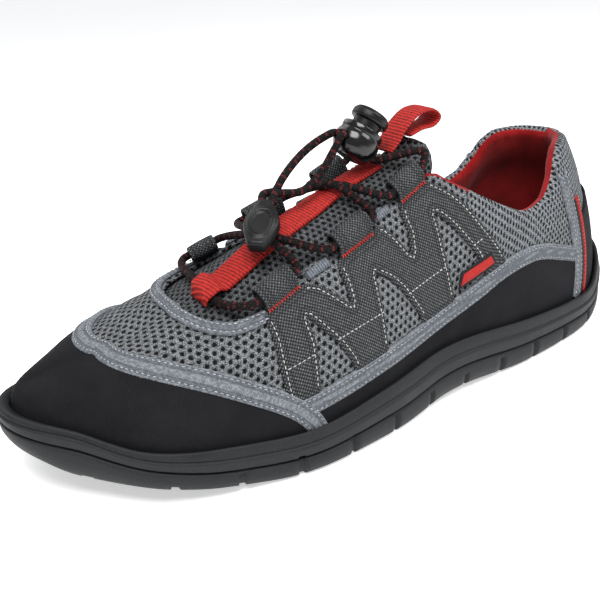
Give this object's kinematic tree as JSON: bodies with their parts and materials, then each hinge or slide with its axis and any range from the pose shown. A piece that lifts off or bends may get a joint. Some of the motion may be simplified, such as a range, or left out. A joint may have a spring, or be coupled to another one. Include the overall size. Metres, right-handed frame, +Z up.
{
  "type": "water shoe",
  "caption": "Low left water shoe with a black rubber sole, mesh upper, webbing straps, pull-on tongue and an elastic lace with a push-button cord lock.",
  "frame": {"origin": "on the ground, in the middle of the tread block under the heel", "axes": "+X from heel to toe, +Y to the outer side of the left foot, +Z up"},
  "size_m": [0.2927, 0.1062, 0.1142],
  "materials": {
    "rubber": "satin black moulded rubber",
    "lining": "red knitted lining",
    "knit": "dark mesh with light grey yarn",
    "guard": "black stretch fabric",
    "tape": "grey stitched tape",
    "strap": "charcoal ballistic webbing",
    "red_webbing": "red ribbed webbing",
    "tongue_mesh": "black and grey mesh",
    "elastic_cord": "black elastic cord with red flecks",
    "lock": "glossy black",
    "clip": "matt black"
  },
  "bodies": {
    "shoe": {"outsole": "rubber", "insole": "lining", "upper": "knit", "toe_guard": "guard", "toe_band": "tape", "throat_band": "tape", "quarter_band_outer": "tape", "side_guard_outer": "guard", "heel_band_outer": "tape", "heel_stripe_outer": "red_webbing", "strap_panel_outer": "strap", "eye_tape_outer_1": "tape", "eye_tape_outer_2": "tape", "lace_loop_outer_1": "strap", "lace_loop_outer_2": "strap", "lace_loop_outer_3": "strap", "quarter_band_inner": "tape", "side_guard_inner": "guard", "heel_band_inner": "tape", "heel_stripe_inner": "red_webbing", "strap_panel_inner": "strap", "eye_tape_inner_1": "tape", "eye_tape_inner_2": "tape", "lace_loop_inner_1": "strap", "lace_loop_inner_2": "strap", "lace_loop_inner_3": "strap", "heel_counter": "guard", "tongue": "tongue_mesh", "tongue_webbing": "red_webbing", "pull_loop": "red_webbing", "lace": "elastic_cord", "lace_end_1": "elastic_cord", "lace_end_2": "elastic_cord", "cord_lock_barrel": "lock", "cord_end_clip": "clip", "side_label": "red_webbing"},
    "button": {"cord_lock_button": "lock"}
  },
  "joints": [
    {"name": "button_press", "type": "slide", "parent": "shoe", "child": "button", "axis": [0.65, 0, -0.76], "range_m": [0, 0.0024], "stiffness_N_per_m": 200}
  ]
}
